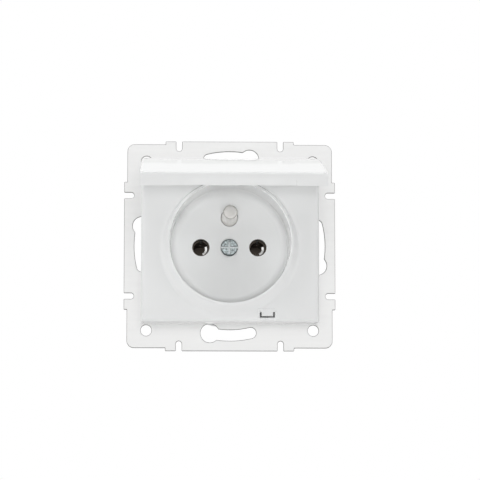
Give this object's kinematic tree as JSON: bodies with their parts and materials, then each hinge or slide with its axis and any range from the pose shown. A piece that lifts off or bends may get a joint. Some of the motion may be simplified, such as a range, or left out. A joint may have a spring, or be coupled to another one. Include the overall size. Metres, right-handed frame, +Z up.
{
  "type": "flush weatherproof socket with hinged lid",
  "caption": "Square flush socket with a plated mounting frame, a round plug well with earth pin and contact holes, and a hinged lid that closes over it.",
  "frame": {"origin": "centre of the frame's fixing holes in the wall plane, which is the back of the frame", "axes": "+X to the right seen from the room, +Z up, -Y out of the wall towards the room"},
  "size_m": [0.07, 0.0853, 0.07],
  "materials": {
    "plated_steel": "bright zinc plate",
    "white_gloss_plastic": "gloss",
    "seal_rubber": "matte",
    "steel_pin": "ground",
    "zinc_steel": "blue zinc plate",
    "brass_insert": "turned",
    "contact_brass": "rolled strip",
    "terminal_brass": "sawn bar",
    "nickel_brass": "nickel plate",
    "grey_plastic": "satin"
  },
  "bodies": {
    "socket": {"mounting_frame": "plated_steel", "cover_plate": "white_gloss_plastic", "cover_screw": "zinc_steel", "cover_screw_insert": "brass_insert", "frame_rivets": "zinc_steel", "base_body": "grey_plastic", "contact_block": "grey_plastic", "rear_cover": "grey_plastic", "rear_cover_screws": "zinc_steel", "line_contact": "contact_brass", "neutral_contact": "contact_brass", "earth_strap": "contact_brass", "earth_pin": "nickel_brass", "line_terminal_clamp": "terminal_brass", "neutral_terminal_clamp": "terminal_brass", "earth_terminal_clamp": "terminal_brass", "line_terminal_screw": "zinc_steel", "neutral_terminal_screw": "zinc_steel", "earth_terminal_screw": "zinc_steel"},
    "lid": {"lid": "white_gloss_plastic", "lid_seal": "seal_rubber", "hinge_pin_left": "steel_pin", "hinge_pin_right": "steel_pin"}
  },
  "joints": [
    {"name": "lid_hinge", "type": "hinge", "parent": "socket", "child": "lid", "pos_m": [0, -0.0095, 0.024], "axis": [1, 0, 0], "range_deg": [-24, 76]}
  ]
}
